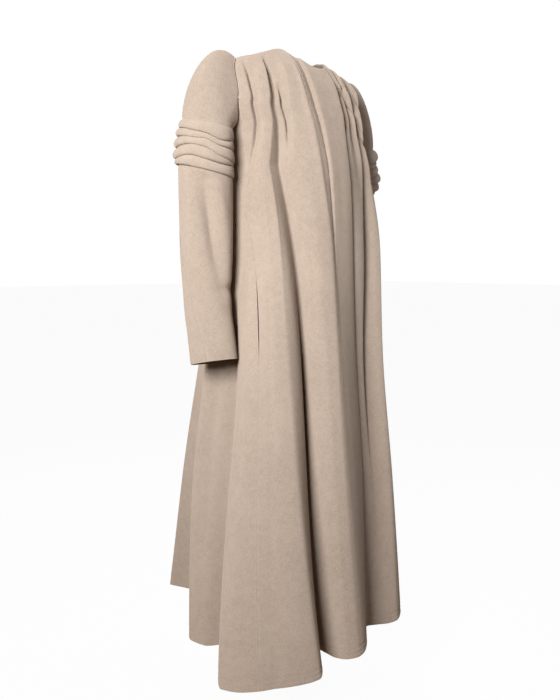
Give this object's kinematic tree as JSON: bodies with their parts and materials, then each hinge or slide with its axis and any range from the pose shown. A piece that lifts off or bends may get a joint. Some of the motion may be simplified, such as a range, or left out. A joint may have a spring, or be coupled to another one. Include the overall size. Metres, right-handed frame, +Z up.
{
  "type": "maxi coat",
  "caption": "Long trapeze coat of thick wool, hollow in its worn form, with a pleated round neck, fluted skirt, puffed set-in sleeve heads and a tucked band round each upper arm",
  "frame": {"origin": "the middle of the neck opening at the height of the side neck, where the wearer holds the coat up", "axes": "+Z is up, -Y is the wearer's front and +X is the wearer's left"},
  "size_m": [0.6244, 0.6076, 1.2506],
  "materials": {
    "wool": "matt, napped"
  },
  "bodies": {
    "root": {"front_right": "wool", "front_left": "wool", "back_right": "wool", "back_left": "wool", "sleeve_cap_right": "wool", "sleeve_band_right": "wool", "sleeve_outer_right": "wool", "sleeve_under_right": "wool", "sleeve_cap_left": "wool", "sleeve_band_left": "wool", "sleeve_outer_left": "wool", "sleeve_under_left": "wool"}
  },
  "joints": []
}
